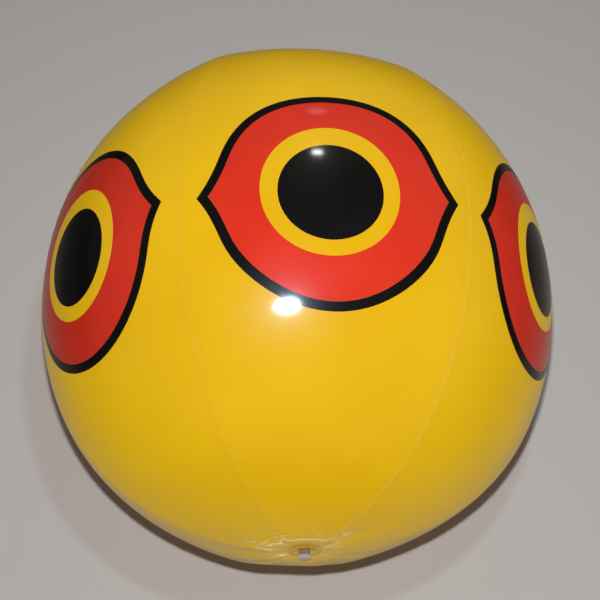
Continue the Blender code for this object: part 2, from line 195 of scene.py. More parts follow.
def grid_mesh(name, points, wrap_rows=False, closed=False):
    """Mesh over a grid, with faces that look along the columns crossed with the rows.

    A closed form wraps its columns round, and its rows as well if asked to.
    """
    rows, columns = points.shape[:2]
    index = np.arange(rows * columns).reshape(rows, columns)
    if wrap_rows:
        index = np.vstack([index, index[:1]])
    if closed:
        index = np.hstack([index, index[:, :1]])
    quads = np.stack([index[:-1, :-1], index[:-1, 1:], index[1:, 1:], index[1:, :-1]], axis=-1)
    mesh = bpy.data.meshes.new(name)
    mesh.from_pydata(points.reshape(-1, 3), [], quads.reshape(-1, 4))
    if closed:
        bm = bmesh.new()
        bm.from_mesh(mesh)
        bmesh.ops.remove_doubles(bm, verts=bm.verts, dist=MERGE_DISTANCE)
        bmesh.ops.recalc_face_normals(bm, faces=bm.faces)
        bm.to_mesh(mesh)
        bm.free()
    mesh.shade_smooth()
    return mesh


def new_piece(name, mesh, material):
    """Object at the origin, with its place in its mesh."""
    piece = bpy.data.objects.new(name, mesh)
    bpy.context.scene.collection.objects.link(piece)
    mesh.materials.append(material)
    mesh.set_sharp_from_angle(angle=CORNER_ANGLE)
    return piece


def closed_piece(name, points, material, wrap_rows=False):
    return new_piece(name, grid_mesh(name, points, wrap_rows, closed=True), material)


def sheet_points(azimuth, latitude, outer_height, inner_height):
    """Both faces of a sheet on the skin: out along the upper face and back along the lower one."""
    outer = on_skin(azimuth, latitude, outer_height)
    inner = on_skin(azimuth, latitude, inner_height)
    return np.concatenate([outer, inner[::-1]], axis=0)


# %% [markdown]
# ## Shared shader effects
# Vinyl film, ink and moulded vinyl have two things in common: a surface that is never quite
# even, and the fine rubbed marks of handling. Each effect is a node group with named sockets,
# built once and placed in each material with its own values. The groups put out only masks and
# values, and the shader itself stays in the material. The helpers pass outputs on as pairs of
# a node and the name of its output, so that a line of nodes reads like a formula.

# %% Node helpers
def set_inputs(node, inputs):
    """Give inputs of a node a plain value, or a (node, output) pair to link."""
    for name, value in inputs.items():
        if isinstance(value, tuple) and isinstance(value[0], bpy.types.Node):
            node.id_data.links.new(value[0].outputs[value[1]], node.inputs[name])
        else:
            node.inputs[name].default_value = value


def add_node(tree, kind, inputs=None, **settings):
    node = tree.nodes.new(kind)
    for name, value in settings.items():
        setattr(node, name, value)
    set_inputs(node, inputs or {})
    return node


def math_node(tree, operation, *values, clamp=False):
    """Math node on plain values or pairs, given back as a pair."""
    inputs = dict(enumerate(values))
    return add_node(tree, "ShaderNodeMath", inputs, operation=operation, use_clamp=clamp), "Value"


def map_range(tree, source, low, high, least=0.0, most=1.0):
    """Map Range node from low..high to least..most, given back as a pair."""
    inputs = {"Value": source, "From Min": low, "From Max": high, "To Min": least, "To Max": most}
    return add_node(tree, "ShaderNodeMapRange", inputs), "Result"


def mix_shaders(tree, factor, first, second):
    """Mix Shader node between two pairs, given back as a pair."""
    return add_node(tree, "ShaderNodeMixShader", {0: factor, 1: first, 2: second}), "Shader"


def new_group(name, inputs, outputs):
    """Empty shader group, with its input values and its float outputs."""
    group = bpy.data.node_groups.new(name, "ShaderNodeTree")
    sockets = group.interface
    sockets.new_socket(name="Vector", in_out="INPUT", socket_type="NodeSocketVector")
    for socket_name, value in inputs.items():
        socket = sockets.new_socket(name=socket_name, in_out="INPUT", socket_type="NodeSocketFloat")
        socket.default_value = value
    for socket_name in outputs:
        sockets.new_socket(name=socket_name, in_out="OUTPUT", socket_type="NodeSocketFloat")
    return group, group.nodes.new("NodeGroupInput"), group.nodes.new("NodeGroupOutput")


# %% Group: uneven film
def make_uneven_film():
    """Cloudy value for tone and roughness, and the fine skin of calendered film for bump.

    In words: a slow noise gives the cloud, and a fast noise plus a little of a faster one
    gives the grain.
    """
    group, entry, leave = new_group("uneven_film", {"Cloud Scale": 9.0, "Grain Scale": 700.0},
                                    ("Cloud", "Grain"))
    for output, detail, roughness in (("Cloud", 3.0, 0.55), ("Grain", 2.0, 0.6)):
        noise = add_node(group, "ShaderNodeTexNoise", {
            "Vector": (entry, "Vector"), "Scale": (entry, f"{output} Scale"),
            "Detail": detail, "Roughness": roughness})
        set_inputs(leave, {output: (noise, "Fac")})
    return group


# %% Group: handling marks
def make_handling_marks():
    """Mask of fine rubbed scratches and of dust specks.

    In words: a noise stretched along one direction is cut to its crests for the scratches, a
    second noise lets them show in patches only, and small dots of a Voronoi pattern are the dust.
    """
    group, entry, leave = new_group("handling_marks", {"Scratch Scale": 90.0, "Dust Scale": 260.0},
                                    ("Scratches", "Dust"))
    place = (entry, "Vector")
    stretch = add_node(group, "ShaderNodeMapping", {
        "Vector": place, "Rotation": (0.5, 0.9, 0.3), "Scale": (1.0, 14.0, 14.0)})
    streaks = add_node(group, "ShaderNodeTexNoise", {
        "Vector": (stretch, "Vector"), "Scale": (entry, "Scratch Scale"),
        "Detail": 2.0, "Distortion": 0.4})
    patchy = add_node(group, "ShaderNodeTexNoise", {"Vector": place, "Scale": 16.0, "Detail": 1.0})
    crest = map_range(group, (streaks, "Fac"), 0.66, 0.74)
    gate = map_range(group, (patchy, "Fac"), 0.48, 0.66)
    dots = add_node(group, "ShaderNodeTexVoronoi", {
        "Vector": place, "Scale": (entry, "Dust Scale"), "Randomness": 1.0})
    set_inputs(leave, {"Scratches": math_node(group, "MULTIPLY", crest, gate),
                       "Dust": map_range(group, (dots, "Distance"), 0.16, 0.07)})
    return group


UNEVEN_FILM = make_uneven_film()
HANDLING_MARKS = make_handling_marks()
print("groups:", [group.name for group in bpy.data.node_groups])

# %% [markdown]
# ## Materials
# The film is coloured all through, soft and very glossy. Its gloss has two lobes: a broad one
# from the body of the vinyl and a sharp one from its smooth skin. Three things keep it from
# looking like paint: its tone is slightly cloudy, a fine pale line is painted along each seam,
# partly the stretched film's own paleness and partly a painted highlight of the seam groove, and
# a faint darker band beside the seam is painted shade along that groove. The gores carry the
# distance from the seam and the strength of that line as attributes, so the material can follow
# them.
# The inks are opaque and nearly even, and take the gloss of the film that they lie on.

# %% Film and ink
BODY_SPECULAR = 0.16
SKIN_ROUGHNESS = 0.10
FILM_COAT = 0.55
MILKY_DIFFUSE = 0.5
GLOSS = (0.30, 0.38)
CLOUD_SPAN = (0.3, 0.7)
SCRATCH_ROUGHNESS = 0.16
DUST_ROUGHNESS = 0.10


def start_material(name, coat):
    """Material with a Principled BSDF, object coordinates and the two shared groups."""
    material = bpy.data.materials.new(name)
    material.use_nodes = True
    tree = material.node_tree
    shader = tree.nodes["Principled BSDF"]
    set_inputs(shader, {"Specular IOR Level": BODY_SPECULAR, "Coat Weight": coat,
                        "Coat Roughness": SKIN_ROUGHNESS})
    place = {"Vector": (add_node(tree, "ShaderNodeTexCoord"), "Object")}
    film, marks = [add_node(tree, "ShaderNodeGroup", place, node_tree=group)
                   for group in (UNEVEN_FILM, HANDLING_MARKS)]
    return material, tree, shader, film, marks


def two_tones(tree, source, dark, light, low=0.35, high=0.65):
    """Colour that runs from dark to light as a value rises from low to high."""
    ramp = add_node(tree, "ShaderNodeValToRGB", {"Fac": source})
    for element, position, colour in zip(ramp.color_ramp.elements, (low, high), (dark, light)):
        element.position = position
        element.color = (*colour, 1.0)
    return ramp, "Color"


def mix_colour(tree, base, mask, colour, strength):
    """Base colour, mixed with another colour where a mask is strong."""
    share = math_node(tree, "MULTIPLY", mask, strength)
    inputs = {0: share, "A": base, "B": (*colour, 1.0)}
    return add_node(tree, "ShaderNodeMix", inputs, data_type="RGBA"), "Result"


def finish_surface(tree, shader, film, marks, colour, dust, gloss, grain):
    """Dust over a colour, roughness from the cloud, raised by scratches and dust, and fine bump.

    Dust is its tone and strength, gloss the least and most roughness, and grain the distance
    and strength of the bump.
    """
    spread = map_range(tree, (film, "Cloud"), *CLOUD_SPAN, *gloss)
    rubbed = math_node(tree, "MULTIPLY_ADD", (marks, "Scratches"), SCRATCH_ROUGHNESS, spread)
    dusty = math_node(tree, "MULTIPLY_ADD", (marks, "Dust"), DUST_ROUGHNESS, rubbed, clamp=True)
    bump = add_node(tree, "ShaderNodeBump", {
        "Distance": grain[0], "Strength": grain[1], "Height": (film, "Grain")})
    set_inputs(shader, {"Base Color": mix_colour(tree, colour, (marks, "Dust"), *dust),
                        "Roughness": dusty, "Normal": (bump, "Normal")})


YELLOW_DARK = (0.77, 0.468, 0.004)
YELLOW_LIGHT = (0.81, 0.508, 0.005)
# Pale line along each seam: partly the stretched film's paleness, partly painted highlight
SEAM_LINE_PALE_AND_HIGHLIGHT = (0.84, 0.58, 0.06)
# Darker band beside each seam and its reach: painted shade along the seam groove
GROOVE_SHADE_TONE = (0.62, 0.345, 0.008)
GROOVE_SHADE_REACH = (0.0060, 0.0030)
DUST_TONE = (0.80, 0.70, 0.45)


def make_film_material(name, with_seam):
    """Yellow film. By a seam: a pale line, partly painted highlight, and a band of painted shade.
    """
    material, tree, shader, film, marks = start_material(name, FILM_COAT)
    set_inputs(shader, {"Diffuse Roughness": MILKY_DIFFUSE})
    colour = two_tones(tree, (film, "Cloud"), YELLOW_DARK, YELLOW_LIGHT)
    if with_seam:
        # Painted shade: a darker band within a few mm of the seam groove
        seam = add_node(tree, "ShaderNodeAttribute", attribute_name="from_seam")
        groove_shade = map_range(tree, (seam, "Fac"), *GROOVE_SHADE_REACH)
        colour = mix_colour(tree, colour, groove_shade, GROOVE_SHADE_TONE, 0.08)
        # Painted pale line along the seam, partly highlight of the light in its groove
        line = add_node(tree, "ShaderNodeAttribute", attribute_name="pale_seam_highlight")
        colour = mix_colour(tree, colour, (line, "Fac"), SEAM_LINE_PALE_AND_HIGHLIGHT, 0.26)
    finish_surface(tree, shader, film, marks, colour, (DUST_TONE, 0.05), GLOSS, (0.0001, 0.10))
    return material


def make_ink_material(name, dark, light):
    """Printed ink: nearly even, with the fine cloudiness of a screen print."""
    material, tree, shader, film, marks = start_material(name, FILM_COAT)
    set_inputs(film, {"Cloud Scale": 26.0})
    colour = two_tones(tree, (film, "Cloud"), dark, light)
    finish_surface(tree, shader, film, marks, colour, (DUST_TONE, 0.006), GLOSS, (0.0001, 0.08))
    return material


film_material = make_film_material("yellow_film", True)
patch_material = make_film_material("yellow_patch", False)
red_material = make_ink_material("red_print", (0.70, 0.030, 0.012), (0.73, 0.036, 0.014))
black_material = make_ink_material("black_print",
                                   (0.0045, 0.0038, 0.0032), (0.0065, 0.0055, 0.0048))

# %% [markdown]
# ## Clear moulded vinyl
# Valve and hanging tab are moulded from uncoloured vinyl. It lets light through but is never as
# clear as glass: it is milky, slightly grey, and its mould leaves a satin skin. Each piece has
# its own tone and its own range of cover: the thin flange lets the yellow film through. The
# stem's dark tone is painted shade, for the dark that refraction and its dark bore give a clear
# tube. The skirt's yellow tone is painted light, the glow of the lit inside of the ball shining
# through it. Plug, strap and flap are paler and pinker than milky grey: partly the vinyl's own
# tone, partly a painted highlight of the plug's cap.

# %% Clear vinyl
CLEAR_COAT = 0.5
CLEAR_IOR = 1.53
CLEAR_GLOSS = (0.24, 0.34)
CLEAR_DUST = (0.55, 0.48, 0.38)
EDGE_BLEND = 0.35
EDGE_COVER = 0.45
CLEAR_VINYLS = {
    # Plug, strap and flap: paler pink, partly the vinyl, partly painted highlight of the cap
    "clear_vinyl_and_cap_highlight": ((0.58, 0.47, 0.41), (0.72, 0.60, 0.54), 0.40, 0.58),
    "clear_tab_vinyl": ((0.62, 0.55, 0.48), (0.76, 0.69, 0.61), 0.36, 0.52),
    # Stem: painted shade, dark for what refraction and the bore do to a clear tube
    "stem_vinyl_painted_shade": ((0.24, 0.17, 0.12), (0.34, 0.25, 0.18), 0.62, 0.78),
    "thin_clear_vinyl": ((0.76, 0.48, 0.04), (0.82, 0.53, 0.08), 0.26, 0.40),
    # Skirt: painted light, the yellow glow of the ball's lit inside shining through
    "skirt_vinyl_painted_glow": ((0.70, 0.43, 0.03), (0.78, 0.49, 0.05), 0.86, 0.96),
}


def make_clear_material(name, dark, light, least, most):
    """Milky vinyl whose cover runs from least to most with the cloud, and grows where one looks
    along the surface, through more of it."""
    material, tree, shader, film, marks = start_material(name, CLEAR_COAT)
    set_inputs(film, {"Cloud Scale": 120.0, "Grain Scale": 1600.0})
    colour = two_tones(tree, (film, "Cloud"), dark, light)
    milky = map_range(tree, (film, "Cloud"), *CLOUD_SPAN, least, most)
    slant = add_node(tree, "ShaderNodeLayerWeight", {"Blend": EDGE_BLEND})
    cover = math_node(tree, "MULTIPLY_ADD", (slant, "Facing"), EDGE_COVER, milky, clamp=True)
    set_inputs(shader, {"Alpha": cover, "IOR": CLEAR_IOR, "Diffuse Roughness": MILKY_DIFFUSE})
    finish_surface(tree, shader, film, marks, colour, (CLEAR_DUST, 0.3), CLEAR_GLOSS,
                   (0.00008, 0.2))
    return material


clear_material, tab_material, stem_material, thin_material, skirt_material = [
    make_clear_material(name, *values) for name, values in CLEAR_VINYLS.items()]

# %% [markdown]
# ## The six gores
# Seen from outside, a seam of such a ball is a fine groove: both films turn inwards there and
# are welded face to face, and the weld lies inside as a narrow fin. The weld is stiffer than the
# film, so the film puckers beside it. A bump in the material would do from afar, but the groove
# breaks the highlights, so it is modelled: the grid crowds its columns towards the seams.

# %% Gore surface
GROOVE_DEPTH = 0.00022
GROOVE_WIDTH = 0.0009
PUCKER_HEIGHT = 0.00012
PUCKER_REACH = 0.0065
PUCKER_LENGTH = 0.0155
SEAM_CLEARANCE = 0.00004
# Strength of each seam's painted pale line, partly highlight, and its fade over the upper half
SEAM_LINE_AND_HIGHLIGHT_STRENGTHS = (0.45, 0.95, 0.8, 0.6, 0.9, 0.7)
UPPER_FADE = 0.7
GORE_ROWS = 320
GORE_COLUMNS = 88
CROWDING = 0.90


def seam_relief(latitude, offset, seam):
    """Height beside a seam: a groove, and puckers across it.

    In words: the groove is an exponential of the distance from the seam. The puckers are a sine
    along the seam whose length and strength wander, fading with the same distance.
    """
    distance = (1 - np.abs(offset)) * HALF_GORE * EQUATOR_RADIUS * np.cos(latitude)
    along = latitude * EQUATOR_RADIUS
    groove = GROOVE_DEPTH * np.exp(-distance / GROOVE_WIDTH)
    wander = 1.9 * np.sin(along / 0.023 + 1.3 * seam) + 1.1 * np.sin(along / 0.041 + 2.2 * seam)
    strength = 0.55 + 0.45 * np.sin(along / 0.034 + 0.9 * seam + 0.7 * np.sin(along / 0.011))
    pucker = np.sin(2 * np.pi * along / PUCKER_LENGTH + wander) * strength
    fade = np.exp(-(distance / PUCKER_REACH) ** 2) * (1 - smooth_step(np.abs(latitude), 1.22, 1.34))
    return PUCKER_HEIGHT * pucker * fade - groove, distance


def seam_line_and_highlight(latitude, distance, seam):
    """How pale the line along a seam is painted: partly the stretched film's own paleness, partly
    a painted highlight of the light along the seam groove.

    In words: each seam's own strength, less over its upper half, fading with the distance.
    """
    height = 1 - UPPER_FADE * smooth_step(latitude, -0.25, 0.35)
    return np.array(SEAM_LINE_AND_HIGHLIGHT_STRENGTHS)[seam] * height * (1 - smooth_step(distance, 0.0004, 0.0030))


def gore_points(number):
    """Grid of one gore, rows from the lower pole up and columns from seam to seam.

    One more column on each side leads down the weld inside the ball.
    """
    middle = FIRST_EYE_AZIMUTH + 2 * HALF_GORE * (number - 1)
    latitude = np.linspace(-GORE_END_LATITUDE, GORE_END_LATITUDE, GORE_ROWS)[:, None]
    even = np.linspace(-1, 1, GORE_COLUMNS)[None, :]
    offset = (1 - CROWDING) * even + CROWDING * np.sin(even * np.pi / 2)
    latitude, offset = np.broadcast_arrays(latitude, offset)
    azimuth = middle + offset * HALF_GORE
    seam = np.where(offset > 0, number % GORE_COUNT, (number - 1) % GORE_COUNT)
    relief, distance = seam_relief(latitude, offset, seam)
    radius = skin_radius(latitude, offset) + film_unevenness(azimuth, latitude) + relief
    points = CENTRE + directions(azimuth, latitude) * radius[..., None]
    fins = []
    for column, side in ((0, -1), (-1, 1)):
        seam_azimuth = middle + side * HALF_GORE
        inwards = -side * np.array([-np.sin(seam_azimuth), np.cos(seam_azimuth), 0.0])
        points[:, column] = points[:, column] + inwards * SEAM_CLEARANCE
        depth = directions(azimuth[:, column], latitude[:, column]) * WELD_WIDTH
        fins.append((points[:, column] - depth)[:, None])
    points = np.concatenate([fins[0], points, fins[1]], axis=1)
    # Painted pale seam line, partly highlight
    paleness = seam_line_and_highlight(latitude, distance, seam)
    distance, paleness = (np.concatenate([value[:, :1], value, value[:, -1:]], axis=1)
                          for value in (distance, paleness))
    return points, {"from_seam": distance, "pale_seam_highlight": paleness}


def make_gore(number):
    points, measures = gore_points(number)
    mesh = grid_mesh(f"film_{number}", points)
    for measure, values in measures.items():
        attribute = mesh.attributes.new(measure, "FLOAT", "POINT")
        attribute.data.foreach_set("value", values.astype(np.float32).ravel())
    gore = new_piece(f"film_{number}", mesh, film_material)
    wall = gore.modifiers.new("wall", "SOLIDIFY")
    wall.thickness = FILM
    wall.offset = -1
    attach(gore, "balloon")
    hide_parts(f"gore_{number}")
    return gore


gores = [make_gore(number) for number in range(1, GORE_COUNT + 1)]
print("faces in one gore before its wall:", len(gores[0].data.polygons))

# %% [markdown]
# ## The printed eyes
# Each eye is three layers of ink: the pupil, the red field and a black outline, with bare film
# between pupil and field. A texture would blur when looked at closely, so each layer is a thin
# sheet of its own whose edges are as crisp as a print. The outline is nearly a circle, and
# towards each side it runs out into a small point with hollow flanks.
#
# A screen is never set down quite true, so every eye is moved and turned a little, and its
# outline a little more. For the eyes 1, 2 and 6, which show in the photograph, these shifts and
# the shoulders of the outline are fitted to it, and so they also take up what the camera and the
# skin of this model get wrong. For the other three they are made up, of a like size.

# %% Eye outline
EYE_DROP = 0.0166
EYE_HALF_WIDTH = 0.0820
EYE_RISE = 0.0016
EYE_POINT = 0.0109
POINT_SPREAD = np.radians(26)
POINT_SHARPNESS = 2.8
POINT_LIFT = np.radians(1.7)
OUTLINE_WIDTH = 0.0066
PUPIL_RADIUS = 0.0360
BARE_RING_RADIUS = 0.0491
RING_LIFT = 0.0023
RING_NARROWING = 0.0012
PRINT_GAP = 0.00004
INK_LIFT = 0.00005
INK = 0.00003
EYE_LATITUDE = -EYE_DROP / EQUATOR_RADIUS
# Each eye's own shoulders
EYE_SHOULDERS = (0.0030, 0.0, 0.0010, 0.0010, 0.0010, 0.0008)
# Each eye's shift to the right and up in mm, its turn in degrees, and its outline's further shift
PRINT_SHIFTS = (
    (0.8, -0.7, 1.2, 1.4, 0.3),
    (0.2, 1.7, 1.1, -0.8, 0.4),
    (0.4, -0.3, -0.4, 0.3, 0.2),
    (-0.5, 0.2, 0.5, -0.4, 0.1),
    (0.3, 0.5, -0.7, 0.5, -0.3),
    (0.2, -0.8, 2.2, -1.3, 0.4),
)


def eye_edge(number, angle, inset):
    """Radius of the eye's outline, drawn in by an inset.

    In words: the half width, plus a rise towards top and bottom, plus shoulders above and
    hollows below, plus a point at either side that falls off as a power of the angle from it.
    The inset grows with the slope of the edge, so that a stroke keeps its width along the
    flanks of the points.
    """
    from_point = np.arcsin(np.sin(angle)) - POINT_LIFT
    near = np.clip(1 - np.abs(from_point) / POINT_SPREAD, 0, None)
    shoulder = EYE_SHOULDERS[number - 1] * np.sin(2 * angle) ** 2 * np.sin(angle)
    radius = (EYE_HALF_WIDTH + EYE_RISE * np.sin(angle) ** 2 + shoulder
              + EYE_POINT * near ** POINT_SHARPNESS)
    slope = EYE_POINT * POINT_SHARPNESS / POINT_SPREAD * near ** (POINT_SHARPNESS - 1) / radius
    return radius - inset * np.sqrt(1 + slope ** 2)


def ring_edge(angle):
    """Radius of the bare ring's edge, seen from the middle of the pupil.

    In words: a circle whose centre lies a little above that middle, drawn in a little to both
    sides. Both are fitted to the photograph.
    """
    flat = np.sqrt(BARE_RING_RADIUS ** 2 - (RING_LIFT * np.cos(angle)) ** 2)
    return RING_LIFT * np.sin(angle) + flat - RING_NARROWING * np.cos(angle) ** 2


def crowded_angles(count, crowding):
    """Angles once round, closer together near the eye's two lifted points."""
    turn = once_round(count)
    return turn - crowding * np.sin(2 * turn) + POINT_LIFT * np.cos(turn)


def eye_place(number, radius, angle):
    """Points of the flat print, each screen set down a little beside its true place."""
    right, up, turn, outline_right, outline_up = PRINT_SHIFTS[number - 1]
    field_width = EYE_HALF_WIDTH - OUTLINE_WIDTH - BARE_RING_RADIUS
    outwards = np.clip((radius - BARE_RING_RADIUS) / field_width, 0, 1)
    turned = angle + np.radians(turn)
    across = radius * np.cos(turned) + (right + outwards * outline_right) / 1000
    along = radius * np.sin(turned) + (up + outwards * outline_up) / 1000
    return across, along


def make_print(name, number, inner, outer, angle, rings, material, node):
    """One layer of ink between two outlines, wrapped onto its gore."""
    middle = FIRST_EYE_AZIMUTH + 2 * HALF_GORE * (number - 1)
    share = np.linspace(0, 1, rings)[:, None]
    across, along = eye_place(number, inner[None, :] * (1 - share) + outer[None, :] * share, angle)
    latitude = EYE_LATITUDE + along / EQUATOR_RADIUS
    azimuth = middle + across / (EQUATOR_RADIUS * np.cos(latitude))
    points = sheet_points(azimuth, latitude, INK_LIFT + INK, INK_LIFT)
    layer = closed_piece(name, points, material, inner[0] > 0)
    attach(layer, "balloon")
    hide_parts(node)


def make_eye(number):
    even = crowded_angles(128, 0.0)
    crowded = crowded_angles(240, 0.42)
    make_print(f"pupil_{number}", number, 0 * even, PUPIL_RADIUS + 0 * even, even, 20,
               black_material, f"eye_{number}_pupil")
    make_print(f"iris_{number}", number, ring_edge(crowded),
               eye_edge(number, crowded, OUTLINE_WIDTH + PRINT_GAP), crowded, 16,
               red_material, f"eye_{number}_field")
    make_print(f"outline_{number}", number, eye_edge(number, crowded, OUTLINE_WIDTH),
               eye_edge(number, crowded, 0.0), crowded, 6, black_material,
               f"eye_{number}_outline")


for eye_number in range(1, GORE_COUNT + 1):
    make_eye(eye_number)
print("eyes printed:", GORE_COUNT)

# %% [markdown]
# ## The end patches
# Where the six points of the gores meet, a round patch covers them. The welding die melts its
# rim down to the film below and presses two fine ring grooves into it. The patch follows the
# same folds as the film.

# %% Patches
PATCH_LIFT = 0.00006
MELTED_RIM = 0.0016
DIE_GROOVE_DEPTH = 0.00010
DIE_GROOVE_WIDTH = 0.0006
DIE_GROOVES = (0.0325, 0.0345)
VALVE_HOLE_RADIUS = 0.0088


def make_patch(name, side, hole, node):
    """Round film patch. Side is 1 at the top pole and -1 at the bottom one.

    In words: the sheet's thickness, which fades out over the melted rim, minus two ring grooves
    of the die.
    """
    radius, angle = np.broadcast_arrays(np.linspace(hole, PATCH_RADIUS, 76)[:, None],
                                        once_round(168))
    body = (FILM - INK) * smooth_step(PATCH_RADIUS - radius, 0.0, MELTED_RIM)
    grooves = sum(DIE_GROOVE_DEPTH * np.exp(-((radius - place) / DIE_GROOVE_WIDTH) ** 2)
                  for place in DIE_GROOVES)
    latitude = side * np.arccos(np.clip(radius / POLE_RADIUS, 0, 1))
    points = sheet_points(side * angle, latitude, PATCH_LIFT + INK + body - grooves, PATCH_LIFT)
    patch = closed_piece(name, points, patch_material, hole > 0)
    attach(patch, "balloon")
    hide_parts(node)


make_patch("top_disc", 1, 0.0, "top_patch")
make_patch("bottom_disc", -1, VALVE_HOLE_RADIUS, "bottom_patch")
print("patch diameter in mm:", 2000 * PATCH_RADIUS)

# %% [markdown]
# ## Turned pieces with rounded corners
# Flange, skirt, stem and plug are bodies of revolution. Their profiles are short lists of
# corners, each with a rounding radius, because moulded vinyl has no sharp corner anywhere.

# %% Turned profiles
def rounded(corners, closed):
    """Profile through corners of (radius, height, rounding), each corner replaced by an arc.

    In words: on each side of a corner the profile leaves its straight line at the rounding
    distance, and a parabolic arc leads from one line to the other.
    """
    corners = np.array(corners, float)
    points, rounding = corners[:, :2], corners[:, 2:]
    before, after = np.roll(points, 1, axis=0), np.roll(points, -1, axis=0)
    to_before = (before - points) / np.linalg.norm(before - points, axis=1, keepdims=True)
    to_after = (after - points) / np.linalg.norm(after - points, axis=1, keepdims=True)
    start, end = points + to_before * rounding, points + to_after * rounding
    share = np.linspace(0, 1, 6)[None, :, None]
    arcs = ((1 - share) ** 2 * start[:, None] + 2 * share * (1 - share) * points[:, None]
            + share ** 2 * end[:, None])
    if not closed:
        arcs[0], arcs[-1] = points[0], points[-1]
    return arcs.reshape(-1, 2)


def make_turned(name, corners, closed, body, node, material=clear_material):
    """Piece from a profile, carried round the ball's axis."""
    profile = rounded(corners, closed)
    points = around_axis(profile[:, :1], once_round(96), profile[:, 1:])
    piece = closed_piece(name, points, material, closed)
    if body:
        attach(piece, body)
    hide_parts(node)
    return piece


# %% [markdown]
# ## The air valve
# The stem is blown through and then pushed in. A soft skirt joins it to the flange, so the
# stem can travel. The skirt belongs to both, so neither body carries it here.

# %% Flange and skirt
flange_low, flange_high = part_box("valve_flange")
stem_low, stem_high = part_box("valve_stem")
FLANGE_RADIUS = float(flange_high.x)
FLANGE_HOLE_RADIUS = 0.0085
STEM_RADIUS = 0.00425
BORE_RADIUS = 0.0027
SKIRT_DEPTH = 0.0024
SKIRT_THICKNESS = 0.0005
SKIRT_GAP = 0.00005

flange_corners = (
    (FLANGE_HOLE_RADIUS, flange_low.z, 0.00015),
    (FLANGE_RADIUS - 0.0022, flange_low.z, 0.0004),
    (FLANGE_RADIUS, flange_low.z + 0.0005, 0.0003),
    (FLANGE_RADIUS, flange_high.z, 0.0001),
    (FLANGE_HOLE_RADIUS, flange_high.z, 0.0001),
)
make_turned("flange_ring", flange_corners, True, "balloon", "valve_flange", thin_material)

skirt_outer, skirt_inner = FLANGE_HOLE_RADIUS - SKIRT_GAP, STEM_RADIUS + SKIRT_GAP
skirt_middle = (skirt_outer + skirt_inner) / 2
skirt_start, skirt_end = flange_low.z + 0.0001, flange_low.z + SKIRT_DEPTH
skirt_corners = (
    (skirt_outer, skirt_start, 0.0001),
    (skirt_outer, skirt_start + SKIRT_THICKNESS, 0.0001),
    (skirt_middle, skirt_start + SKIRT_THICKNESS + 0.0013, 0.0008),
    (skirt_inner, skirt_end + SKIRT_THICKNESS, 0.0001),
    (skirt_inner, skirt_end, 0.0001),
    (skirt_middle, skirt_start + 0.0013, 0.0008),
)
# The skirt's yellow tone is painted light from the ball's lit inside
skirt = make_turned("valve_membrane", skirt_corners, True, None, "valve_skirt", skirt_material)
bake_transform(skirt)
print("skirt runs inwards by mm:", round(1000 * (skirt_end - skirt_start), 2))

# %% Stem
LIP_WIDTH = 0.0004
LIP_LENGTH = 0.0011
stem_corners = (
    (STEM_RADIUS, stem_high.z, 0.0002),
    (STEM_RADIUS, stem_low.z + LIP_LENGTH, 0.0003),
    (STEM_RADIUS + LIP_WIDTH, stem_low.z + LIP_LENGTH - LIP_WIDTH, 0.0002),
    (STEM_RADIUS + LIP_WIDTH, stem_low.z, 0.0002),
    (BORE_RADIUS, stem_low.z, 0.0002),
    (BORE_RADIUS, stem_high.z, 0.0001),
)
# The stem's dark tone is painted shade
make_turned("stem_tube", stem_corners, True, "valve", "valve_stem", stem_material)

# %% Plug
plug_low, plug_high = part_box("valve_plug")
HEAD_RADIUS = float(plug_high.x)
HEAD_THICKNESS = 0.0016
head_top = plug_low.z + HEAD_THICKNESS
SHANK_RADIUS = 0.0025
plug_corners = (
    (0.0, plug_high.z, 0.0),
    (SHANK_RADIUS - 0.0004, plug_high.z, 0.0004),
    (SHANK_RADIUS - 0.0001, plug_high.z - 0.0022, 0.0003),
    (SHANK_RADIUS + 0.0001, plug_high.z - 0.0028, 0.0002),
    (SHANK_RADIUS - 0.0001, plug_high.z - 0.0034, 0.0003),
    (SHANK_RADIUS, head_top, 0.0003),
    (HEAD_RADIUS, head_top, 0.0003),
    (HEAD_RADIUS, plug_low.z, 0.0005),
    (HEAD_RADIUS * 0.45, plug_low.z, 0.0006),
    (HEAD_RADIUS * 0.30, plug_low.z + 0.0003, 0.0006),
    (0.0, plug_low.z + 0.0003, 0.0),
)
# The plug's pale pink tone is partly painted highlight
make_turned("stopper", plug_corners, False, "plug", "valve_plug")

# %% [markdown]
# ## Strap, flap and hanging tab
# These are flat mouldings. The strap is a cross-section carried along a bowed path, and the
# flap is a rounded disc.

# %% Strap
strap_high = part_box("plug_strap")[1]
STRAP_WIDTH = 0.0024
STRAP_THICKNESS = 0.0006


def swept_strip(path, across, width, thickness, power=4.0, around=20):
    """Strip with a rounded rectangular section along a path in the Y-Z plane.

    In words: at each path point a superellipse stands square to the path, as wide along X as
    the strip and as thick along the path's normal.
    """
    tangent = np.gradient(path, axis=0)
    tangent = tangent / np.linalg.norm(tangent, axis=1, keepdims=True)
    normal = np.cross(across, tangent)
    turn = once_round(around)
    x = bend(np.cos(turn), 2 / power) * width / 2
    y = bend(np.sin(turn), 2 / power) * thickness / 2
    ring = x[None, :, None] * np.array(across) + y[None, :, None] * normal[:, None, :]
    points = path[:, None] + ring
    caps = np.repeat(path[[0, -1]][:, None], around, axis=1)
    return np.concatenate([caps[:1], points, caps[1:]], axis=0)


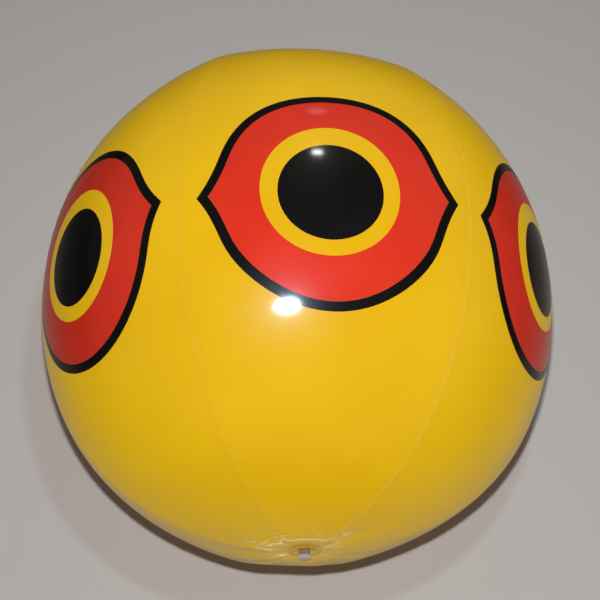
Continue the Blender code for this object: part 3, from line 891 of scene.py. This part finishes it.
bow = np.linspace(0, 1, 24)[:, None]
strap_start = np.array([0.0, HEAD_RADIUS - 0.0003, (plug_low.z + head_top) / 2])
strap_finish = np.array([0.0, STEM_RADIUS - 0.0002, strap_high.z - 0.0003])
strap_bulge = strap_high.y - HEAD_RADIUS - STRAP_THICKNESS
strap_path = strap_start + (strap_finish - strap_start) * bow
strap_path = strap_path + np.array([0.0, 1.0, 0.0]) * strap_bulge * np.sin(np.pi * bow) ** 0.8
strap_points = swept_strip(strap_path, (1.0, 0.0, 0.0), STRAP_WIDTH, STRAP_THICKNESS)
strap = closed_piece("strap_loop", strap_points, clear_material)
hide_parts("plug_strap")
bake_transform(strap)

# %% Check flap
flap_low, flap_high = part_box("valve_flap")
FLAP_CENTRE_Y = (flap_low.y + flap_high.y) / 2
FLAP_RADIUS = (flap_high.x - flap_low.x) / 2


def flap_points():
    """Closed disc: a flattened superellipse turned about its own axis."""
    rise = np.linspace(-np.pi / 2, np.pi / 2, 25)[:, None]
    radius = FLAP_RADIUS * np.abs(np.cos(rise)) ** 0.35
    height = (flap_high.z - flap_low.z) / 2 * bend(np.sin(rise), 0.5)
    height = height + (flap_high.z + flap_low.z) / 2
    return around_axis(radius, once_round(72), height) + np.array([0.0, FLAP_CENTRE_Y, 0.0])


flap = closed_piece("check_flap", flap_points(), clear_material)
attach(flap, "flap")
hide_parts("valve_flap")

# %% [markdown]
# ## The hanging tab
# The tab is a flat ear with a hole, thicker round the hole and along its lower edge, where it
# folds. Its outline is star-shaped about the hole, so the whole ear can be one grid: one
# parameter runs round the hole, the other once round the section from the hole to the rim.

# %% Tab blade
tab_low, tab_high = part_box("hang_tab")
TAB_HALF_WIDTH = (tab_high.x - tab_low.x) / 2
HOLE_RADIUS = 0.004
TAB_HALF_THICKNESS = 0.0006
HINGE_Z = tab_low.z + 0.0009
HINGE_BEAD_RADIUS = 0.0009
EYELET_HEIGHT = 0.0003
EYELET_WIDTH = 0.0008


def tab_outline_radius(angle):
    """Distance from the hole's centre to the outline.

    In words: a half circle above, and below it the smooth minimum of the distances to the side
    and to the foot, which is a box with slightly rounded corners.
    """
    cosine, sine = np.cos(angle), np.sin(angle)
    side = TAB_HALF_WIDTH / np.maximum(np.abs(cosine), 1e-6)
    foot = np.abs(tab_low.z) / np.maximum(-sine, 1e-6)
    box = (side ** -16 + foot ** -16) ** (-1 / 16)
    return np.where(sine >= 0, TAB_HALF_WIDTH, box)


def tab_points():
    """Rows run round the hole, and columns once round the section."""
    angle = once_round(288)[:, None]
    loop = once_round(72)[None, :]
    share = (1 - bend(np.cos(loop), 0.7)) / 2
    radius = HOLE_RADIUS + (tab_outline_radius(angle) - HOLE_RADIUS) * share
    x, z = radius * np.cos(angle), radius * np.sin(angle)
    bead = np.sqrt(np.clip(HINGE_BEAD_RADIUS ** 2 - (z - HINGE_Z) ** 2, 0, None))
    eyelet = EYELET_HEIGHT * np.exp(-((radius - HOLE_RADIUS - EYELET_WIDTH) / EYELET_WIDTH) ** 2)
    around = np.abs(np.sin(loop))
    thickness = np.maximum((TAB_HALF_THICKNESS + eyelet) * np.minimum(1, 1.9 * around ** 0.5),
                           bead * np.minimum(1, 1.5 * around ** 0.35))
    lowest = smooth_step(z, tab_low.z, tab_low.z + 0.0005)
    y = np.sign(np.sin(loop)) * thickness * np.maximum(lowest, 0.02)
    return np.stack([x, y, z + 0 * loop], axis=-1)


tab = closed_piece("tab_blade", tab_points(), tab_material, wrap_rows=True)
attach(tab, "tab")
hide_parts("hang_tab")

# %% [markdown]
# ## The foot of the tab
# A dished disc is welded on the top patch, with a rounded ridge across it. A web thinner than
# the ridge joins it to the tab: it is the living hinge, so neither body carries it here.

# %% Foot, ridge and hinge web
foot_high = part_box("tab_foot")[1]
FOOT_RADIUS = float(foot_high.x)
FOOT_THICKNESS = 0.001
FOOT_ROLL = 0.8
FOOT_RIM = 0.0011
FOOT_GROOVE_DEPTH = 0.00018
FOOT_GROOVE_PLACE = 0.0030
RIDGE_HALF_LENGTH = 0.0075
RIDGE_HALF_WIDTH = 0.0015
RIDGE_HEIGHT = 0.0015
RIDGE_SINK = 0.0002
WEB_HALVES = (0.0070, 0.00035, 0.0007)
foot_top = foot_high.z - RIDGE_HEIGHT


def foot_points():
    """Height over a disc: the skin's fall away from the pole, a rolled rim and a weld groove."""
    turn = once_round(120)
    radius = FOOT_RADIUS * np.linspace(0, 1, 40)[:, None]
    latitude = np.arccos(np.clip(radius / POLE_RADIUS, 0, 1))
    fall = skin_radius(latitude, 0.0) * np.sin(latitude) - skin_radius(np.pi / 2, 0.0)
    rim = FOOT_THICKNESS * FOOT_ROLL * smooth_step(radius, FOOT_RADIUS - FOOT_RIM, FOOT_RADIUS)
    beside = radius - FOOT_RADIUS + FOOT_GROOVE_PLACE
    groove = FOOT_GROOVE_DEPTH * np.exp(-(beside / DIE_GROOVE_WIDTH) ** 2)
    upper = around_axis(radius, turn, foot_top + fall - rim - groove)
    under = around_axis(radius, turn, foot_top - FOOT_THICKNESS + fall)
    return np.concatenate([upper, under[::-1]], axis=0)


def superellipsoid(centre, halves, power):
    """Closed box-like form with rounded edges: each axis follows a power of sine or cosine."""
    rise = np.linspace(-np.pi / 2, np.pi / 2, 33)[:, None]
    turn = once_round(64)
    x = halves[0] * bend(np.cos(rise), power) * bend(np.cos(turn), power)
    y = halves[1] * bend(np.cos(rise), power) * bend(np.sin(turn), power)
    z = halves[2] * bend(np.sin(rise), power)
    return np.array(centre) + np.stack(np.broadcast_arrays(x, y, z), axis=-1)


foot = closed_piece("tab_foot_disc", foot_points(), tab_material)
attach(foot, "balloon")
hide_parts("tab_foot")

ridge_centre = (0.0, 0.0, foot_top + RIDGE_HEIGHT / 2 - RIDGE_SINK)
ridge_halves = (RIDGE_HALF_LENGTH, RIDGE_HALF_WIDTH, RIDGE_HEIGHT / 2 + RIDGE_SINK)
ridge_points = superellipsoid(ridge_centre, ridge_halves, 0.35)
ridge = closed_piece("tab_ridge", ridge_points, tab_material)
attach(ridge, "balloon")

web_points = superellipsoid((0.0, 0.0, (foot_high.z + tab_low.z) / 2), WEB_HALVES, 0.4)
web = closed_piece("hinge_web", web_points, tab_material)
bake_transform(web)
print("tab stands out over the ball by mm:", round(1000 * (tab_high.z - foot_top), 1))

# %% [markdown]
# ## Floor and world
# The balloon lies on its side on a pale floor in the photograph, while the model stands upright,
# as it hangs. So the floor is the upright plane behind the ball. Its tone is painted light: it
# is a little darker towards its lower part and paler towards the top, to make up for the lamps'
# light, which falls off upwards, and it is warm, so that its shadow shows brown as the yellow
# ball's thrown light would make it, while a bluish floor lamp keeps the lit floor neutral. It
# shows from its front only: from behind it is clear, so that the ball can be looked at from every
# side.

# %% Camera directions
CAMERA_AZIMUTH = np.radians(-7.1)
CAMERA_ELEVATION = np.radians(-28.4)
CAMERA_ROLL = np.radians(-1.75)
CAMERA_DISTANCE = 1.078
AIM_RIGHT = 0.0021
AIM_UP = 0.0060
LENS = 80.77
SENSOR = 36.0

away = np.array([np.sin(CAMERA_AZIMUTH), -np.cos(CAMERA_AZIMUTH), 0.0])
level = np.array([np.cos(CAMERA_AZIMUTH), np.sin(CAMERA_AZIMUTH), 0.0])
upright = np.array([0.0, 0.0, 1.0])
back = away * np.cos(CAMERA_ELEVATION) + upright * np.sin(CAMERA_ELEVATION)
rise = np.cross(back, level)
camera_x = level * np.cos(CAMERA_ROLL) + rise * np.sin(CAMERA_ROLL)
camera_y = rise * np.cos(CAMERA_ROLL) - level * np.sin(CAMERA_ROLL)


def place_object(obj, location, x_axis, y_axis, z_axis):
    """Puts an object at a location, with its own axes along three directions."""
    matrix = np.eye(4)
    matrix[:3, 0], matrix[:3, 1], matrix[:3, 2], matrix[:3, 3] = x_axis, y_axis, z_axis, location
    obj.matrix_world = Matrix(matrix)


# %% Floor
FLOOR_DISTANCE = 0.2012
FLOOR_HALF = 2.2
FLOOR_ROUGHNESS = 0.9
FLOOR_SPECULAR = 0.1
# Painted light in the floor: paler upwards to offset the lamps' falloff, and warm so its shadow
# shows brown
FLOOR_LOW_PAINTED_LIGHT = (0.238, 0.199, 0.170)
FLOOR_HIGH_PAINTED_LIGHT = (0.282, 0.250, 0.224)
FLOOR_PAINTED_LIGHT_SPAN = (-0.6, 0.3)
BOUNCE_TONE = (0.375, 0.332, 0.29)
BOUNCE_STOPS = ((0.0, 0.5), (0.07, 0.55), (0.15, 1.0), (0.22, 0.9), (0.32, 0.5), (0.50, 0.12),
                (1.0, 0.02))
BOUNCE_REACH = 1.5
BOUNCE_RISE = (-0.7, 0.2, 1.15, 1.0)
MIRROR_LOSS = 0.25
floor_origin = CENTRE - away * FLOOR_DISTANCE


def make_floor_material():
    """Diffuse from the front, and clear from the back and to shadow rays.

    Rays that light or mirror in the ball see the floor's tone as a plain glow instead, weaker in
    the ball's shade and far away, so that the ball's back stays lit in every view.
    """
    material = bpy.data.materials.new("floor")
    material.use_nodes = True
    material.cycles.emission_sampling = "NONE"
    tree = material.node_tree
    shader = tree.nodes["Principled BSDF"]
    rays = add_node(tree, "ShaderNodeLightPath")
    place = (add_node(tree, "ShaderNodeTexCoord"), "Object")
    height = (add_node(tree, "ShaderNodeSeparateXYZ", {"Vector": place}), "Z")
    # Painted light: the tone grows paler with height, against the lamps' falloff
    tone = two_tones(tree, map_range(tree, height, *FLOOR_PAINTED_LIGHT_SPAN), FLOOR_LOW_PAINTED_LIGHT, FLOOR_HIGH_PAINTED_LIGHT, 0.0, 1.0)
    set_inputs(shader, {"Base Color": tone, "Roughness": FLOOR_ROUGHNESS,
                        "Specular IOR Level": FLOOR_SPECULAR})
    from_contact = add_node(tree, "ShaderNodeVectorMath", {0: place, 1: tuple(floor_origin)},
                            operation="DISTANCE")
    reach = math_node(tree, "DIVIDE", (from_contact, "Value"), BOUNCE_REACH, clamp=True)
    glow = add_node(tree, "ShaderNodeValToRGB", {"Fac": reach})
    elements = glow.color_ramp.elements
    inner = [elements.new(position) for position, value in BOUNCE_STOPS[1:-1]]
    stops = [elements[0]] + inner + [elements[-1]]
    for element, (position, value) in zip(stops, BOUNCE_STOPS):
        element.position = position
        element.color = (value, value, value, 1.0)
    lower = map_range(tree, height, *BOUNCE_RISE)
    local = math_node(tree, "MULTIPLY", (glow, "Color"), lower)
    dimmer = math_node(tree, "MULTIPLY_ADD", (rays, "Is Glossy Ray"), -MIRROR_LOSS, 1.0)
    strength = math_node(tree, "MULTIPLY", local, dimmer)
    inputs = {"Color": (*BOUNCE_TONE, 1.0), "Strength": strength}
    bounce = add_node(tree, "ShaderNodeEmission", inputs)
    front = mix_shaders(tree, (rays, "Is Camera Ray"), (bounce, "Emission"), (shader, "BSDF"))
    side = add_node(tree, "ShaderNodeNewGeometry")
    passing = math_node(tree, "MAXIMUM", (side, "Backfacing"), (rays, "Is Shadow Ray"))
    clear = add_node(tree, "ShaderNodeBsdfTransparent")
    surface = mix_shaders(tree, passing, front, (clear, "BSDF"))
    set_inputs(tree.nodes["Material Output"], {"Surface": surface})
    return material


floor_edges = np.linspace(-FLOOR_HALF, FLOOR_HALF, 2)
floor_grid = (floor_origin + floor_edges[:, None, None] * upright[None, None, :]
              + floor_edges[None, :, None] * level[None, None, :])
floor = bpy.data.objects.new("floor", grid_mesh("floor", floor_grid))
bpy.context.scene.collection.objects.link(floor)
floor.data.materials.append(make_floor_material())
print("floor faces along:", np.array(floor.data.polygons[0].normal).round(2))

# %% World
WORLD_TONE = (1.0, 0.97, 0.93)
WORLD_SIDE = 0.68
WORLD_FRONT = 0.18
WORLD_TILT = 0.16
WORLD_TURN = 0.25
MIRRORED_STRENGTH = 0.05
BACKDROP_TONE = (0.37, 0.36, 0.34)


def make_world():
    """World that lights more from the sides than from the front, and more from top and right.

    Mirrored rays see it almost dark, so that the gloss shows the lamps alone, and the camera
    sees a plain backdrop.
    """
    world = bpy.data.worlds.new("studio")
    world.use_nodes = True
    world.cycles.sampling_method = "NONE"
    tree = world.node_tree
    place = (add_node(tree, "ShaderNodeTexCoord"), "Generated")
    facing, leaning = [
        (add_node(tree, "ShaderNodeVectorMath", {0: place, 1: tuple(axis)},
                  operation="DOT_PRODUCT"), "Value")
        for axis in (away, WORLD_TILT * upright + WORLD_TURN * level)]
    light = map_range(tree, math_node(tree, "ABSOLUTE", facing), 0.0, 1.0, WORLD_SIDE, WORLD_FRONT)
    strength = math_node(tree, "MULTIPLY", light, math_node(tree, "ADD", leaning, 1.0))
    lit = tree.nodes["Background"]
    set_inputs(lit, {"Color": (*WORLD_TONE, 1.0), "Strength": strength})
    mirrored, seen = [
        (add_node(tree, "ShaderNodeBackground", {"Color": (*tone, 1.0), "Strength": even}),
         "Background")
        for tone, even in ((WORLD_TONE, MIRRORED_STRENGTH), (BACKDROP_TONE, 1.0))]
    rays = add_node(tree, "ShaderNodeLightPath")
    lighting = mix_shaders(tree, (rays, "Is Glossy Ray"), (lit, "Background"), mirrored)
    whole = mix_shaders(tree, (rays, "Is Camera Ray"), lighting, seen)
    set_inputs(tree.nodes["World Output"], {"Surface": whole})
    return world


bpy.context.scene.world = make_world()

# %% [markdown]
# ## Lights
# The photograph seems lit by a flash close above the lens and by a soft room lamp. A lamp can
# be kept out of mirrored light or out of diffuse light, and that is used here to give the glare
# in the glossy film a size and strength of its own: the flash is a small key lamp that doesn't
# mirror and a wider glare lamp that does nothing else, and so is the lamp behind the ball, which
# brightens its limb. Two lamps light the floor alone, through light linking. The ball still
# casts their shadows, so the floor has the flash's dark shadow and the room lamp's pale one while
# the ball stays at a plain level. Two softboxes give the small spots further up, and a narrow
# strip near the lower pole gives the glints round the valve.

# %% Lamps
def make_lamp(name, target, direction, distance, size, power, colour=(1.0, 1.0, 1.0),
              mirrored=True, diffuse=True, receivers=None):
    """Oval area lamp at a distance along a direction from a target point, facing it."""
    direction = np.array(direction, float)
    direction = direction / np.linalg.norm(direction)
    lamp = bpy.data.lights.new(name, "AREA")
    lamp.shape = "ELLIPSE"
    lamp.size, lamp.size_y = size
    lamp.energy = power
    lamp.color = colour
    obj = bpy.data.objects.new(name, lamp)
    bpy.context.scene.collection.objects.link(obj)
    side = np.cross(upright, direction)
    side = side / np.linalg.norm(side)
    place_object(obj, target + direction * distance, side, np.cross(direction, side), direction)
    obj.visible_camera = False
    obj.visible_glossy = mirrored
    obj.visible_diffuse = diffuse
    if receivers is not None:
        obj.light_linking.receiver_collection = receivers
    return obj


KEY_RISE = 0.065
KEY_SIZE = (0.02, 0.02)
BACK_SIZE = (0.60, 0.60)
BACK_DIRECTION = (0.10, 0.85, 0.52)
key_place = back * CAMERA_DISTANCE + camera_y * KEY_RISE
key_reach = float(np.linalg.norm(key_place))
overhead_place = away + 0.08 * level - 0.22 * upright
front_point = CENTRE + np.array([-0.027, -0.177, -0.094])
upper_point = CENTRE + np.array([-0.008, -0.200, 0.012])
shoulder_point = CENTRE + np.array([-0.007, -0.194, 0.050])
pole_point = CENTRE - upright * POLE_RADIUS
floor_alone = bpy.data.collections.new("floor_alone")
floor_alone.objects.link(floor)

make_lamp("key_lamp", CENTRE, key_place, key_reach, KEY_SIZE, 6.3, mirrored=False)
make_lamp("floor_key", CENTRE, key_place, key_reach, KEY_SIZE, 18.4, (0.78, 0.875, 1.0),
          mirrored=False, receivers=floor_alone)
make_lamp("overhead_lamp", CENTRE, overhead_place, 1.1, (0.05, 0.05), 5.6, (0.53, 0.81, 1.0),
          mirrored=False, receivers=floor_alone)
make_lamp("flash_glare", front_point, (-0.155, -0.909, -0.390), 1.0, (0.185, 0.125), 8.0,
          (0.62, 0.80, 1.0), diffuse=False)
make_lamp("ceiling_lamp", upper_point, (0.065, -0.755, 0.652), 2.0, (0.13, 0.05), 1.6)
make_lamp("far_lamp", shoulder_point, (0.077, -0.465, 0.882), 2.2, (0.22, 0.10), 0.15)
make_lamp("back_lamp", CENTRE, BACK_DIRECTION, 1.5, BACK_SIZE, 13.0, mirrored=False)
make_lamp("back_sheen", CENTRE, BACK_DIRECTION, 1.5, BACK_SIZE, 3.0, diffuse=False)
low_lamp = make_lamp("low_lamp", pole_point, (0.10, 0.895, -0.435), 0.195, (0.16, 0.006), 0.0013,
                     diffuse=False)
low_lamp.data.spread = np.radians(60)
print("lamps:", [light.name for light in bpy.data.lights])

# %% Camera
camera_data = bpy.data.cameras.new("camera")
camera_data.lens = LENS
camera_data.sensor_width = SENSOR
camera = bpy.data.objects.new("camera", camera_data)
bpy.context.scene.collection.objects.link(camera)
camera_place = CENTRE + camera_x * AIM_RIGHT + camera_y * AIM_UP + back * CAMERA_DISTANCE
place_object(camera, camera_place, camera_x, camera_y, back)
bpy.context.scene.camera = camera
bpy.context.scene.view_settings.view_transform = "Standard"
